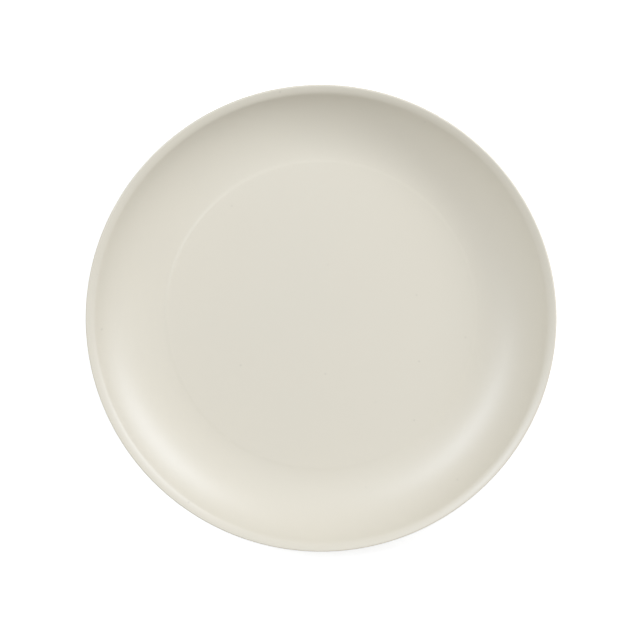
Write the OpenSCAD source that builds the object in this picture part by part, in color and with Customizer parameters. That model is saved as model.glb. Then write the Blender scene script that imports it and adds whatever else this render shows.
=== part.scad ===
// Coupe dinner plate, injection moulded in one piece.
// The plate stands on its foot ring on z = 0, centred on the Z axis, with its open side up.
// Its section is drawn once, in the half plane x = radius and y = height, and turned about Z.

/* [Overall] */
// Diameter over the rim
plate_d = 267; // [250:1:285]
// Height of the rim above the table
plate_h = 26.5; // [23:0.5:31]

/* [Floor] */
// Diameter of the raised flat floor
floor_d = 179; // [150:1:182]
// Thickness of the floor
floor_t = 2.5; // [2:0.1:3]
// Height of the floor above the line where the wall starts
pad_h = 0.07; // [0.05:0.01:0.3]
// Width of the shoulder that eases the floor down to that line
shoulder_w = 0.35; // [0.3:0.05:3]

/* [Wall] */
// Thickness of the wall and of the rim
wall_t = 2.3; // [1.8:0.1:2.8]
// Slope at which the wall leaves the floor, in degrees
wall_start_a = 0.5; // [0.5:0.5:6]

/* [Rim] */
// Radius of the roll from the wall's inner face over to the rim's land
lip_r = 6; // [4:0.5:9]
// Width of the land, the narrow band between that roll and the rim's outer edge
land_w = 2.75; // [1:0.25:4]
// Slope of the land, which still faces in a little, in degrees
land_a = 26; // [5:1:30]
// Rounding of the rim's two outer corners
edge_r = 0.7; // [0.4:0.1:0.8]

/* [Foot ring] */
// Clearance for stacking, from the edge of a floor in to the foot ring of the plate that stands on it
stack_gap = 10; // [5:0.5:20]
// Width of the foot ring where it meets the table
foot_w = 2.6; // [2:0.1:4]
// Depth of the recess inside the foot ring
foot_h = 1.8; // [1.2:0.1:2.6]
// Draft of the foot ring's two sides, in degrees
foot_draft_a = 12; // [5:1:20]
// Rounding of the foot ring's two lower edges
foot_edge_r = 0.6; // [0.3:0.1:0.9]
// Fillet where the foot ring meets the underside
foot_fillet_r = 0.8; // [0.4:0.1:1.2]

/* [Gate mark] */
// Diameter of the sunk dimple round the gate, under the centre
gate_d = 11; // [8:0.5:16]
// Depth of the dimple
gate_h = 0.5; // [0.3:0.1:0.8]
// Diameter of the trimmed gate stub that stands in the dimple
stub_d = 2.4; // [1.6:0.1:4]
// Height of the stub above the bottom of the dimple
stub_h = 0.3; // [0.1:0.05:0.5]

/* [Hidden] */

// Smoothness of the revolved body, and steps along each arc of the section
revolve_fn = 120;
wall_steps = 10;
lip_steps = 4;
crest_steps = 2;
rim_steps = 3;
shoulder_steps = 3;
fillet_steps = 2;

// Levels, from the table up
floor_top_z = foot_h + floor_t;
crease_z = floor_top_z - pad_h;

// The edge of the floor, and the line where the wall starts
floor_r = floor_d / 2;
crease = [floor_r + shoulder_w, crease_z];

// Centres of the rim's two outer corners. The straight outer face between them is what they leave of the
// rim's thickness.
upper_corner = [plate_d / 2 - edge_r, plate_h - edge_r];
lower_corner = upper_corner - [0, (wall_t - 2 * edge_r) / cos(land_a)];

// The lip is a small arc that ends in the slope of the land
land_side = [-sin(land_a), cos(land_a)];
land_run = [cos(land_a), sin(land_a)];
lip_centre = upper_corner - (lip_r - edge_r) * land_side - land_w * land_run;

// The wall is one large arc that sweeps up from the crease and shares a tangent with the lip, which
// fixes its radius and the slope at which the two meet
wall_side = [-sin(wall_start_a), cos(wall_start_a)];
span = lip_centre - crease;
wall_r = (span * span - lip_r * lip_r) / (2 * (lip_r + span * wall_side));
wall_centre = crease + wall_r * wall_side;
wall_end_a = atan2(lip_centre.x - wall_centre.x, wall_centre.y - lip_centre.y);

// Level of the underside between the foot ring and the wall
under_z = wall_centre.y - wall_r - wall_t;

// The foot ring stands inside the floor of the plate below it in a stack
foot_outer_r = floor_r - stack_gap;
foot_inner_r = foot_outer_r - foot_w;

// Points on an arc, from angle a0 to a1, where 0 points along +x. An arc that follows on from another
// one starts at its second point.
function arc(centre, r, a0, a1, steps, first = 0) =
    [for (i = [first:steps]) centre + r * [cos(a0 + (a1 - a0) * i / steps), sin(a0 + (a1 - a0) * i / steps)]];

function unit(v) = v / norm(v);

// Points that round the corner b of the path a, b, c with radius r
function rounded(a, b, c, r, steps) =
    let (
        u = unit(a - b),
        v = unit(c - b),
        half = acos(u * v) / 2,
        centre = b + unit(u + v) * r / sin(half),
        start = b + u * r / tan(half) - centre,
        end = b + v * r / tan(half) - centre,
        a0 = atan2(start.y, start.x),
        turn = atan2(start.x * end.y - start.y * end.x, start * end)
    )
    arc(centre, r, a0, a0 + turn, steps);

// A point at a share of the shoulder's width, which is level where it leaves the floor and at the crease
function shoulder_point(share) =
    [floor_r + shoulder_w * share, floor_top_z - pad_h * (1 - cos(180 * share)) / 2];

// Upper side, from the centre out to the inner edge of the land
function upper_side() = concat(
    [[0, floor_top_z]],
    [for (i = [0:shoulder_steps]) shoulder_point(i / shoulder_steps)],
    arc(wall_centre, wall_r, wall_start_a - 90, wall_end_a - 90, wall_steps, first = 1),
    arc(lip_centre, lip_r, wall_end_a + 90, land_a + 90, lip_steps, first = 1)
);

// From the outer edge of the land over the crest and down the rim's outer face to the underside
function rim_edge() = concat(
    arc(upper_corner, edge_r, land_a + 90, 90, crest_steps),
    arc(upper_corner, edge_r, 90, 0, rim_steps, first = 1),
    arc(lower_corner, edge_r, 0, land_a - 90, rim_steps)
);

// Under the lip and the wall, parallel to the upper side, in to the level stretch by the foot ring
function outer_side() = concat(
    arc(lip_centre, lip_r - wall_t, land_a + 90, wall_end_a + 90, lip_steps),
    arc(wall_centre, wall_r + wall_t, wall_end_a - 90, -90, wall_steps, first = 1)
);

// Foot ring, from its outer side to its inner side, with drafted sides
function foot_ring() =
    let (
        flare = tan(foot_draft_a),
        outer_root = [foot_outer_r + under_z * flare, under_z],
        inner_root = [foot_inner_r - foot_h * flare, foot_h],
        outer_toe = [foot_outer_r, 0],
        inner_toe = [foot_inner_r, 0]
    )
    concat(
        rounded([wall_centre.x, under_z], outer_root, outer_toe, foot_fillet_r, fillet_steps),
        rounded(outer_root, outer_toe, inner_toe, foot_edge_r, fillet_steps),
        rounded(outer_toe, inner_toe, inner_root, foot_edge_r, fillet_steps),
        rounded(inner_toe, inner_root, [0, foot_h], foot_fillet_r, fillet_steps)
    );

// Underside at the centre: the dimple and the stub in it
function gate_mark() =
    let (
        dimple_z = foot_h + gate_h,
        stub_z = dimple_z - stub_h
    )
    [
        [gate_d / 2, foot_h],
        [gate_d / 2, dimple_z],
        [stub_d / 2, dimple_z],
        [stub_d / 2, stub_z],
        [0, stub_z]
    ];

// The whole moulding
module plate() {
    color([0.87, 0.85, 0.80])
    rotate_extrude($fn = revolve_fn)
    polygon(concat(upper_side(), rim_edge(), outer_side(), foot_ring(), gate_mark()));
}

plate();
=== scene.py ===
import bpy
import math
from mathutils import Matrix, Quaternion, Vector


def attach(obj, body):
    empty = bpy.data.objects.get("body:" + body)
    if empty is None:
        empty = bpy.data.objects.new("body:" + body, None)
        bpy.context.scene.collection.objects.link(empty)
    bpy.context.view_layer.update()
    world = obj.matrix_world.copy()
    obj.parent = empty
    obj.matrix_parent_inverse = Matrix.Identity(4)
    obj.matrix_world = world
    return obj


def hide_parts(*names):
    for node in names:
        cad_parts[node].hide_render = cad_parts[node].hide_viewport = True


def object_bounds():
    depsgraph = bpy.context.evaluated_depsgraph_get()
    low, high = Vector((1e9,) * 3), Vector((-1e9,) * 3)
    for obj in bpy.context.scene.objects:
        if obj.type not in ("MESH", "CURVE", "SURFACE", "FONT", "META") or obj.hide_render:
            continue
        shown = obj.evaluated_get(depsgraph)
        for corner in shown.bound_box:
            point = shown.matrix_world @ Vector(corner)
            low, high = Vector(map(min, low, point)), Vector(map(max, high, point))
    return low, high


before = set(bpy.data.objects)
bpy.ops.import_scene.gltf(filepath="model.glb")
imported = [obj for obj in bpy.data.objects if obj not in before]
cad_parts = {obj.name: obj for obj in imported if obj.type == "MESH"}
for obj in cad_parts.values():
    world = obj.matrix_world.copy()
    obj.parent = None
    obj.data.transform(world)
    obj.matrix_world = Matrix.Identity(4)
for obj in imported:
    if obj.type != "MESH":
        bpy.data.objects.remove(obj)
cadLow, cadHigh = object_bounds()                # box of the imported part, which stands on z = 0
print("frame loaded, the part is %.4f m across and %.4f m high" % (cadHigh.x - cadLow.x, cadHigh.z))

scene = bpy.context.scene
mm = 0.001                                   # sizes are written in millimetres, the scene is in metres
up = Vector((0, 0, 1))
rimOuter = (cadHigh.x - cadLow.x) / 2        # outer radius of the rim
rimTop = cadHigh.z


# Shader maths written as plain sums: every sum adds its Math or Vector Math node
class Wire:
    def __init__(self, tree, link=None):
        self.tree = tree
        self.link = link

    # Any node: its type, its settings, and values or wires for its sockets by name or number
    def node(self, kind, settings=None, values=None, out=0):
        made = self.tree.nodes.new(kind)
        for name, value in (settings or {}).items():
            setattr(made, name, value)
        for name, value in (values or {}).items():
            if isinstance(value, Wire):
                self.tree.links.new(value.link, made.inputs[name])
            elif value is not None:
                made.inputs[name].default_value = value
        return Wire(self.tree, made.outputs[out])

    def sum(self, operation, first, second):
        coloured = isColour(first) or isColour(second)
        kind = "ShaderNodeVectorMath" if coloured else "ShaderNodeMath"
        if coloured:
            first, second = [(v,) * 3 if isinstance(v, (int, float)) else v for v in (first, second)]
        return self.node(kind, {"operation": operation}, {0: first, 1: second})

    def __add__(self, other):
        return self.sum("ADD", self, other)

    def __radd__(self, other):
        return self.sum("ADD", other, self)

    def __sub__(self, other):
        return self.sum("SUBTRACT", self, other)

    def __rsub__(self, other):
        return self.sum("SUBTRACT", other, self)

    def __mul__(self, other):
        return self.sum("MULTIPLY", self, other)

    def __rmul__(self, other):
        return self.sum("MULTIPLY", other, self)


# True for a colour or a vector, which a plain Math node would turn grey
def isColour(value):
    return isinstance(value, tuple) or (isinstance(value, Wire) and value.link.type != "VALUE")


# 0 below start, 1 above end, and smooth in between
def rise(value, start, end):
    return value.node("ShaderNodeMapRange", {"interpolation_type": "SMOOTHSTEP"},
                      {"Value": value, "From Min": start, "From Max": end})


def noise(place, size, detail=2.0):
    return place.node("ShaderNodeTexNoise", None, {"Vector": place, "Scale": 1 / size, "Detail": detail})


# The moulding's section. Its outer sizes come from the frame, the rest repeats the part's own values, but
# for two places. The photograph shows the floor's step eased over a wider band on the same middle line,
# and standing up more at the back left, where the moulding sank less. It also shows the rim's land a
# little crowned, with a softer roll inside it.
plateSizes = {
    "floorAcross": 176.6 * mm,               # raised flat floor, inside its step
    "floorThick": 2.5 * mm,
    "ringShares": (0, 0.25, 0.5, 0.7, 0.8, 0.88, 0.94, 0.98),  # where the floor's mesh has its rings
    "padHigh": 0.07 * mm,                    # floor above the line where the wall starts
    "shoulderWide": 2.6 * mm,                # eases the floor down to that line
    "raisedMore": 0.21 * mm,                 # what the floor's edge gains at the back left
    "raisedTurn": 156,                       # where that is, in degrees from the right
    "raisedFade": 6,                         # how fast it fades round the edge
    "raisedInward": 2,                       # how fast it fades in from the edge
    "wallThick": 2.3 * mm,
    "wallStart": 0.5,                        # slope at which the wall leaves the floor, degrees
    "lipRound": 6.8 * mm,                    # roll from the wall over to the land
    "landWide": 3.4 * mm,                    # narrow band between the roll and the outer edge
    "landSlope": 26,                         # degrees, facing in
    "landCrown": 8,                          # how much steeper it is inside, and flatter outside
    "edgeRound": 0.7 * mm,                   # rounding of the rim's two outer corners
    "partingWide": 0.34 * mm,                # fine ridge round the rim, where the mould's halves met
    "partingHigh": 0.03 * mm,
    "stackGap": 8.8 * mm,                    # from the floor's step in to the foot ring
    "footWide": 2.6 * mm,
    "footHigh": 1.8 * mm,
    "footDraft": 12,                         # degrees
    "footEdge": 0.6 * mm,                    # rounding of the ring's lower edges
    "footFillet": 0.8 * mm,
    "gateAcross": 11 * mm,                   # sunk dimple round the gate, under the centre
    "gateDeep": 0.5 * mm,
    "stubAcross": 2.4 * mm,                  # trimmed stub that stands in the dimple
    "stubHigh": 0.3 * mm,
    "gateEdge": 0.12 * mm,                   # rounding of every corner of the gate mark
    "stepsAround": 384,
    "stepsWall": 40,
    "stepsRound": 12,                        # along each small arc
    "stepsFine": 6,                          # along the land and the finest curves
    "stepsUnder": 4,                         # along the land's underside
}


# Unit vector square to a slope, on its upper left side
def upperSide(slope):
    return Vector((-math.sin(slope), math.cos(slope)))


def along(angle):
    return Vector((math.cos(angle), math.sin(angle)))


def arcPoints(centre, radius, start, end, steps, first=0):
    return [centre + radius * along(start + (end - start) * i / steps) for i in range(first, steps + 1)]


# Points that round the corner b of the path a, b, c
def roundedCorner(a, b, c, radius, steps):
    back = (a - b).normalized()
    ahead = (c - b).normalized()
    half = back.angle(ahead) / 2
    centre = b + (back + ahead).normalized() * radius / math.sin(half)
    start = b + back * radius / math.tan(half) - centre
    end = b + ahead * radius / math.tan(half) - centre
    turn = math.atan2(start.x * end.y - start.y * end.x, start.dot(end))
    first = math.atan2(start.y, start.x)
    return arcPoints(centre, radius, first, first + turn, steps)


# The section as a path of (radius, height), from the centre of the floor over the rim to the gate mark
def plateSection(s):
    quarter = math.pi / 2
    land = math.radians(s["landSlope"])
    wallStart = math.radians(s["wallStart"])
    wall, lip, steps = s["wallThick"], s["lipRound"], s["stepsRound"]
    floorR = s["floorAcross"] / 2
    floorZ = s["footHigh"] + s["floorThick"]
    crease = Vector((floorR + s["shoulderWide"], floorZ - s["padHigh"]))

    # The rim's upper corner, in from its outer size by the parting ridge's height, and the crowned land
    corner = s["edgeRound"]
    crown = math.radians(s["landCrown"])
    landR = s["landWide"] / (2 * crown)
    landIn, landOut = land + crown, land - crown
    upper = Vector((rimOuter - corner - s["partingHigh"], rimTop - corner))
    landAt = upper - (landR - corner) * upperSide(landOut)
    lipAt = landAt + (landR - lip) * upperSide(landIn)

    # The lower corner lies straight below, where it meets the land's underside
    reach = landR - wall + corner
    underOut = math.asin((landAt.x - upper.x) / reach)
    lower = landAt + reach * upperSide(underOut)

    # The wall is one large arc from the crease, which meets the lip at a shared tangent
    span = lipAt - crease
    side = upperSide(wallStart)
    wallR = (span.dot(span) - lip * lip) / (2 * (lip + span.dot(side)))
    wallAt = crease + wallR * side
    wallEnd = math.atan2(lipAt.x - wallAt.x, wallAt.y - lipAt.y)
    underZ = wallAt.y - wallR - wall

    path = [Vector((floorR * share, floorZ)) for share in s["ringShares"]]
    for i in range(steps + 1):
        drop = s["padHigh"] * (1 - math.cos(math.pi * i / steps)) / 2
        path.append(Vector((floorR + s["shoulderWide"] * i / steps, floorZ - drop)))
    path += arcPoints(wallAt, wallR, wallStart - quarter, wallEnd - quarter, s["stepsWall"], 1)
    path += arcPoints(lipAt, lip, wallEnd + quarter, landIn + quarter, steps, 1)
    path += arcPoints(landAt, landR, landIn + quarter, landOut + quarter, s["stepsFine"], 1)
    path += arcPoints(upper, corner, landOut + quarter, 0, steps, 1)
    path += partingRidge((upper + lower) / 2 + Vector((corner, 0)), s)
    path += arcPoints(lower, corner, 0, underOut - quarter, steps)
    path += arcPoints(landAt, landR - wall, underOut + quarter, landIn + quarter, s["stepsUnder"], 1)
    path += arcPoints(lipAt, lip - wall, landIn + quarter, wallEnd + quarter, steps, 1)
    path += arcPoints(wallAt, wallR + wall, wallEnd - quarter, -quarter, s["stepsWall"], 1)

    # Foot ring, with drafted sides
    flare = math.tan(math.radians(s["footDraft"]))
    footOuter = floorR - s["stackGap"]
    footInner = footOuter - s["footWide"]
    outerRoot = Vector((footOuter + underZ * flare, underZ))
    outerToe = Vector((footOuter, 0))
    innerToe = Vector((footInner, 0))
    innerRoot = Vector((footInner - s["footHigh"] * flare, s["footHigh"]))
    path += roundedCorner(path[-1], outerRoot, outerToe, s["footFillet"], steps)
    path += roundedCorner(outerRoot, outerToe, innerToe, s["footEdge"], steps)
    path += roundedCorner(outerToe, innerToe, innerRoot, s["footEdge"], steps)
    path += roundedCorner(innerToe, innerRoot, Vector((0, s["footHigh"])), s["footFillet"], steps)

    # Gate mark: dimple and stub, with every corner eased as a mould's is
    dimpleZ = s["footHigh"] + s["gateDeep"]
    stubZ = dimpleZ - s["stubHigh"]
    mark = [Vector((innerRoot.x, s["footHigh"])),
            Vector((s["gateAcross"] / 2, s["footHigh"])),
            Vector((s["gateAcross"] / 2, dimpleZ)),
            Vector((s["stubAcross"] / 2, dimpleZ)),
            Vector((s["stubAcross"] / 2, stubZ)),
            Vector((0, stubZ))]
    for a, b, c in zip(mark, mark[1:], mark[2:]):
        path += roundedCorner(a, b, c, s["gateEdge"], s["stepsFine"])
    return path + [mark[-1]]


# The fine ridge half way down the rim's outer face
def partingRidge(middle, s):
    steps = s["stepsFine"]
    shares = [i / steps for i in range(steps, -steps - 1, -1)]
    return [middle + Vector((s["partingHigh"] * (1 + math.cos(math.pi * t)) / 2, s["partingWide"] * t / 2))
            for t in shares]


# Lifts the edge of the floor at the back left, and less and less in from it and round it
def raiseFloorEdge(mesh, s):
    floorR = s["floorAcross"] / 2
    creaseZ = s["footHigh"] + s["floorThick"] - s["padHigh"]
    for vert in mesh.vertices:
        x, y, z = vert.co
        r = math.hypot(x, y)
        if z < creaseZ or r > floorR + s["shoulderWide"]:
            continue
        towards = (1 + math.cos(math.atan2(y, x) - math.radians(s["raisedTurn"]))) / 2
        inward = min(r / floorR, 1) ** s["raisedInward"]
        ease = (z - creaseZ) / s["padHigh"]      # 1 on the floor, down to 0 at the crease
        vert.co.z += s["raisedMore"] * towards ** s["raisedFade"] * inward * ease


# Turns a section about Z. Its first and last points lie on the axis.
def turnedPiece(name, path, around):
    verts = []
    rings = []
    for r, z in path:
        count = 1 if r == 0 else around
        rings.append([len(verts) + k for k in range(count)])
        verts += [(r * math.cos(math.tau * k / around), r * math.sin(math.tau * k / around), z)
                  for k in range(count)]
    faces = []
    for inner, outer in zip(rings, rings[1:]):
        for k in range(around):
            after = (k + 1) % around
            if len(inner) == 1:
                faces.append((inner[0], outer[k], outer[after]))
            elif len(outer) == 1:
                faces.append((inner[k], outer[0], inner[after]))
            else:
                faces.append((inner[k], outer[k], outer[after], inner[after]))
    mesh = bpy.data.meshes.new(name)
    mesh.from_pydata(verts, [], faces)
    mesh.shade_smooth()
    piece = bpy.data.objects.new(name, mesh)
    scene.collection.objects.link(piece)
    return piece


plasticLook = {
    "colour": (0.734, 0.686, 0.574),         # warm off-white
    "roughness": 0.43,                       # satin
    "sheen": 0.84,                           # specular level of the smooth skin of the moulding
    "sheenTint": (0.88, 0.915, 1, 1),        # its highlights are a little colder than the plastic
    "cloudSize": 38 * mm,                    # faint uneven tone of the pigment
    "cloudDepth": 0.012,
    "warmSpread": 1.7,                       # patches of warmth, this much larger than the clouds
    "warmShift": (0.3, 0.1, 0.2),            # and taken elsewhere in the noise
    "warmDepth": 0.008,
    "smearSize": 7 * mm,                     # uneven gloss
    "smearDetail": 3.0,
    "smearDepth": 0.03,
    "grainSize": 0.8 * mm,                   # fine satin grain of the mould's face
    "grainDetail": 1.0,
    "grainHigh": 0.008 * mm,
    "speckCell": 26 * mm,                    # a cell of this size has one dark speck at most
    "speckShare": 0.24,                      # share of the cells that have one
    "speckEdge": 0.01,                       # how soft that choice is
    "speckSize": 1.05 * mm,
    "speckDark": 0.11,                       # of the darkest
    "speckFaint": -0.5,                      # the lower this starts, the less the others differ from it
    "underRough": 0.10,                      # the underside is left rougher by its half of the mould
    "underFrom": 0.1,                        # from here in the height of the surface's normal
    "underTo": -0.3,                         # down to here
}


def satinPlastic():
    look = plasticLook
    material = bpy.data.materials.new("satinPlastic")
    material.use_nodes = True
    tree = material.node_tree
    skin = tree.nodes["Principled BSDF"]
    start = Wire(tree)
    place = start.node("ShaderNodeTexCoord", out=3)                    # object coordinates, in metres
    facing = start.node("ShaderNodeNewGeometry", out=1)
    height = start.node("ShaderNodeSeparateXYZ", None, {0: facing}, out=2)

    # Pigment: faint clouds of tone and of warmth, and a few dark specks
    tone = noise(place, look["cloudSize"]) - 0.5
    warm = noise(place + look["warmShift"], look["cloudSize"] * look["warmSpread"]) - 0.5
    flat = {"voronoi_dimensions": "2D"}
    cells = {"Vector": place, "Scale": 1 / look["speckCell"], "Randomness": 1.0}
    away = start.node("ShaderNodeTexVoronoi", flat, cells) * look["speckCell"]
    pick = start.node("ShaderNodeTexVoronoi", flat, cells, out=1)
    lot = start.node("ShaderNodeSeparateColor", None, {0: pick})
    depth = rise(start.node("ShaderNodeSeparateColor", None, {0: pick}, out=1), look["speckFaint"], 1)
    chosen = 1 - rise(lot, look["speckShare"], look["speckShare"] + look["speckEdge"])
    speck = (1 - rise(away, 0, look["speckSize"])) * chosen * depth
    colour = look["colour"] * (1 + tone * look["cloudDepth"] - speck * look["speckDark"])
    colour = colour + (1.0, 0.0, -1.0) * (warm * look["warmDepth"])
    tree.links.new(colour.link, skin.inputs["Base Color"])

    # Satin skin: gloss a little uneven, and rougher underneath
    smear = noise(place, look["smearSize"], look["smearDetail"]) - 0.5
    under = rise(height, look["underFrom"], look["underTo"])
    rough = look["roughness"] + smear * look["smearDepth"] + under * look["underRough"]
    tree.links.new(rough.link, skin.inputs["Roughness"])
    skin.inputs["Specular IOR Level"].default_value = look["sheen"]
    skin.inputs["Specular Tint"].default_value = look["sheenTint"]

    # Grain of the mould's face
    grain = noise(place, look["grainSize"], look["grainDetail"])
    bump = start.node("ShaderNodeBump", None,
                      {"Strength": 1.0, "Distance": look["grainHigh"], "Height": grain})
    tree.links.new(bump.link, skin.inputs["Normal"])
    return material


def makePlate():
    piece = turnedPiece("dinnerPlate", plateSection(plateSizes), plateSizes["stepsAround"])
    raiseFloorEdge(piece.data, plateSizes)
    piece.data.materials.append(satinPlastic())
    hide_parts("plate")
    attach(piece, "root")
    return piece


makePlate()
print("plate turned and finished")


studio = {
    "floorHalf": 3.0,
    "floorColour": (0.9, 0.9, 0.9, 1),
    "floorRough": 0.9,
    "floorGlow": 0.44,                       # seen by the camera and in gloss only, so the floor goes white
    "sideGlow": 0.51,                        # world light from the left and right
    "topGlow": 0.725,                        # world light from above and below
    "aim": Vector((0, 0, 10 * mm)),
}

# Each lamp's direction from the plate in degrees, its distance, size and roll. Level is the light that it
# throws on a face square to it.
softboxes = {
    "backLeft": {"turn": 150.8, "climb": 52.7, "away": 2.84, "wide": 1.15, "tall": 0.12, "roll": 5,
                 "level": 0.336, "tint": (0.946, 1, 1.071)},
    "backRight": {"turn": 30.4, "climb": 26.2, "away": 1.46, "wide": 1.13, "tall": 0.4, "roll": 19,
                  "level": 0.552, "tint": (0.96, 1, 1.08)},
}


# 1 for rays that should see the white studio and not its light on the object
def seenDirectly(start):
    rays = start.node("ShaderNodeLightPath")
    outs = rays.link.node.outputs
    camera, glossy, through = [Wire(start.tree, outs[n]) for n in ("Is Camera Ray", "Is Glossy Ray",
                                                                   "Is Transmission Ray")]
    return start.sum("MAXIMUM", camera, start.sum("MAXIMUM", glossy, through))


def makeFloor():
    half = studio["floorHalf"]
    mesh = bpy.data.meshes.new("studioFloor")
    corners = [(-half, -half, 0), (half, -half, 0), (half, half, 0), (-half, half, 0)]
    mesh.from_pydata(corners, [], [range(len(corners))])
    paper = bpy.data.materials.new("studioPaper")
    paper.use_nodes = True
    tree = paper.node_tree
    skin = tree.nodes["Principled BSDF"]
    skin.inputs["Base Color"].default_value = studio["floorColour"]
    skin.inputs["Roughness"].default_value = studio["floorRough"]
    skin.inputs["Emission Strength"].default_value = 1.0
    glow = (studio["floorGlow"],) * 3 * seenDirectly(Wire(tree))
    tree.links.new(glow.link, skin.inputs["Emission Color"])
    mesh.materials.append(paper)
    floor = bpy.data.objects.new("studioFloor", mesh)
    scene.collection.objects.link(floor)


def makeWorld():
    world = bpy.data.worlds.new("studioWorld")
    scene.world = world
    world.use_nodes = True
    world.cycles.sampling_method = "NONE"
    tree = world.node_tree
    start = Wire(tree)
    looked = start.node("ShaderNodeTexCoord")                          # direction looked in
    split = start.node("ShaderNodeSeparateXYZ", None, {0: looked}).link.node.outputs
    x, z = Wire(tree, split[0]), Wire(tree, split[2])
    seen = seenDirectly(start)
    soft = x * x * studio["sideGlow"] + z * z * studio["topGlow"]
    strength = seen + (1 - seen) * soft
    background = tree.nodes["Background"]
    background.inputs["Color"].default_value = (1, 1, 1, 1)
    tree.links.new(strength.link, background.inputs["Strength"])


def makeSoftboxes():
    for name, box in softboxes.items():
        turn = math.radians(box["turn"])
        climb = math.radians(box["climb"])
        lamp = bpy.data.lights.new(name, "AREA")
        lamp.shape = "RECTANGLE"
        lamp.size = box["wide"]
        lamp.size_y = box["tall"]
        lamp.energy = box["level"] * (math.pi * box["away"]) ** 2
        lamp.color = box["tint"]
        light = bpy.data.objects.new(name, lamp)
        light.location = box["away"] * Vector((math.cos(turn) * math.cos(climb),
                                               math.sin(turn) * math.cos(climb), math.sin(climb)))
        light.rotation_mode = "QUATERNION"
        facing = (studio["aim"] - light.location).to_track_quat("-Z", "Y")
        light.rotation_quaternion = facing @ Quaternion(up, math.radians(box["roll"]))
        light.visible_camera = False
        scene.collection.objects.link(light)


makeFloor()
makeWorld()
makeSoftboxes()
print("studio lit")


# The camera looks almost straight down, from a little towards the back. The rim's outline in the
# photograph, in pixels of its 640 x 640 frame, gives the lens and how far the camera sits off the axis.
cameraView = {
    "tilt": 7.6,                             # degrees off straight down
    "away": 1.3,                             # from the rim's plane
    "sensor": 36,                            # width, in Blender's millimetres
    "clipNear": 0.01,
    "clipFar": 20,
    "frame": 640,                            # pixels
    "rimCentre": (321.09, 318.05),
    "rimHalf": 235.5,
}


def makeCamera(v):
    tilt = math.radians(v["tilt"])
    back = Vector((0, math.sin(tilt), math.cos(tilt)))
    right = Vector((1, 0, 0))
    upward = Vector((0, math.cos(tilt), -math.sin(tilt)))
    widest = plateSizes["wallThick"] / 2     # from the rim's crest down to the middle of its outer face
    pixel = rimOuter / v["rimHalf"]          # metres to a pixel at the rim
    middle = v["frame"] / 2

    # The near half of a tilted circle looks larger, so the middle of its outline isn't its centre
    nearHalf = rimOuter ** 2 * math.sin(tilt) * math.cos(tilt) / v["away"]
    slideRight = (middle - v["rimCentre"][0]) * pixel
    slideUp = nearHalf + widest * math.sin(tilt) - (middle - v["rimCentre"][1]) * pixel

    lens = bpy.data.cameras.new("camera")
    lens.sensor_width = v["sensor"]
    lens.lens = v["rimHalf"] * v["sensor"] / v["frame"] * (v["away"] + widest) / rimOuter
    lens.clip_start = v["clipNear"]
    lens.clip_end = v["clipFar"]
    camera = bpy.data.objects.new("camera", lens)
    scene.collection.objects.link(camera)
    place = up * rimTop + back * v["away"] + right * slideRight + upward * slideUp
    camera.matrix_world = Matrix.Translation(place) @ Matrix((right, upward, back)).transposed().to_4x4()
    scene.camera = camera


makeCamera(cameraView)
scene.view_settings.view_transform = "Standard"
print("camera placed")
